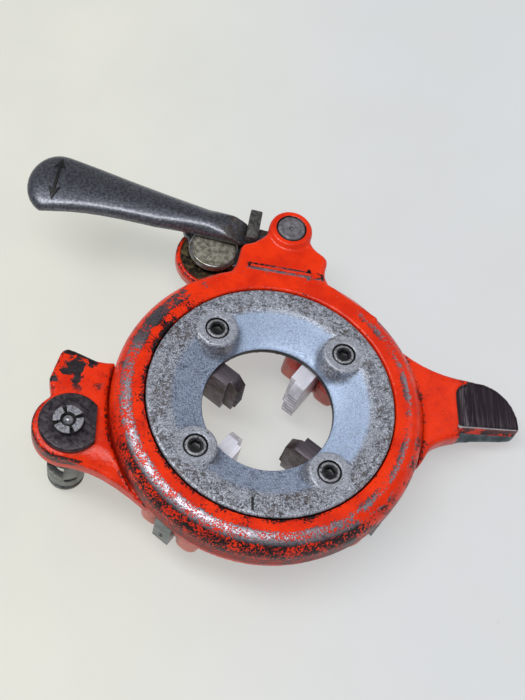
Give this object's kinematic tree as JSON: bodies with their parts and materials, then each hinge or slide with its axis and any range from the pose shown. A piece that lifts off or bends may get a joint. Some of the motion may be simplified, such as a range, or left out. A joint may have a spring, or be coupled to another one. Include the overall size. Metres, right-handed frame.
{
  "type": "pipe threading die head",
  "caption": "Quick-opening pipe-threading die head: red cam ring turned by a black throw-out lever draws chaser dies in and out behind a dished iron cover plate.",
  "frame": {"origin": "on the pipe axis, at the front face of the dies, which is the underside of the cover plate", "axes": "+Z along the pipe axis towards the cover plate's face, +X towards the tail, +Y towards the lever's pin"},
  "size_m": [0.2276, 0.1916, 0.0691],
  "materials": {
    "red_paint": "glossy red-orange enamel, chipped to dark iron",
    "bare_iron": "worn bare casting with grey speckle",
    "black_oxide": "black oxide",
    "ground_steel": "ground tool steel",
    "turned_steel": "turned steel, dulled",
    "spring_steel": "spring steel",
    "dark_steel": "gunmetal, scratched",
    "bronze": "bearing bronze",
    "black_paint": "semi-gloss black enamel on a forging"
  },
  "bodies": {
    "head": {"head_casting": "red_paint", "cover_plate": "bare_iron", "cover_screws": "black_oxide", "cover_dowels": "ground_steel", "cam_stud": "turned_steel", "stud_washer": "turned_steel", "carriage_post": "dark_steel", "post_washer": "dark_steel", "post_nut": "turned_steel", "post_ball": "black_oxide", "post_spring": "spring_steel"},
    "cam_ring": {"cam_ring": "red_paint", "lever_pin": "turned_steel", "pin_clip": "spring_steel"},
    "lever": {"throw_out_lever": "black_paint", "lever_bush": "bronze", "lever_stop_bar": "turned_steel"},
    "die_1": {"die_1": "ground_steel"},
    "die_2": {"die_2": "ground_steel"},
    "die_3": {"die_3": "ground_steel"},
    "die_4": {"die_4": "ground_steel"}
  },
  "joints": [
    {"name": "cam_ring_turn", "type": "hinge", "parent": "head", "child": "cam_ring", "pos_m": [0, 0, 0], "axis": [0, 0, -1], "range_deg": [0, 5]},
    {"name": "lever_swing", "type": "hinge", "parent": "cam_ring", "child": "lever", "pos_m": [0.00916, 0.08712, 0], "axis": [0, 0, 1], "range_deg": [0, 21.01]},
    {"name": "die_1_slide", "type": "slide", "parent": "head", "child": "die_1", "axis": [0.6046, 0.7965, 0], "range_m": [0, 0.0025]},
    {"name": "die_2_slide", "type": "slide", "parent": "head", "child": "die_2", "axis": [-0.7965, 0.6046, 0], "range_m": [0, 0.0025]},
    {"name": "die_3_slide", "type": "slide", "parent": "head", "child": "die_3", "axis": [-0.6046, -0.7965, 0], "range_m": [0, 0.0025]},
    {"name": "die_4_slide", "type": "slide", "parent": "head", "child": "die_4", "axis": [0.7965, -0.6046, 0], "range_m": [0, 0.0025]}
  ],
  "couplings": [
    {"joint": "lever_swing", "follows": "cam_ring_turn", "ratio": 4.2},
    {"joint": "die_1_slide", "follows": "cam_ring_turn", "m_per_rad": 0.028647},
    {"joint": "die_2_slide", "follows": "cam_ring_turn", "m_per_rad": 0.028647},
    {"joint": "die_3_slide", "follows": "cam_ring_turn", "m_per_rad": 0.028647},
    {"joint": "die_4_slide", "follows": "cam_ring_turn", "m_per_rad": 0.028647}
  ]
}
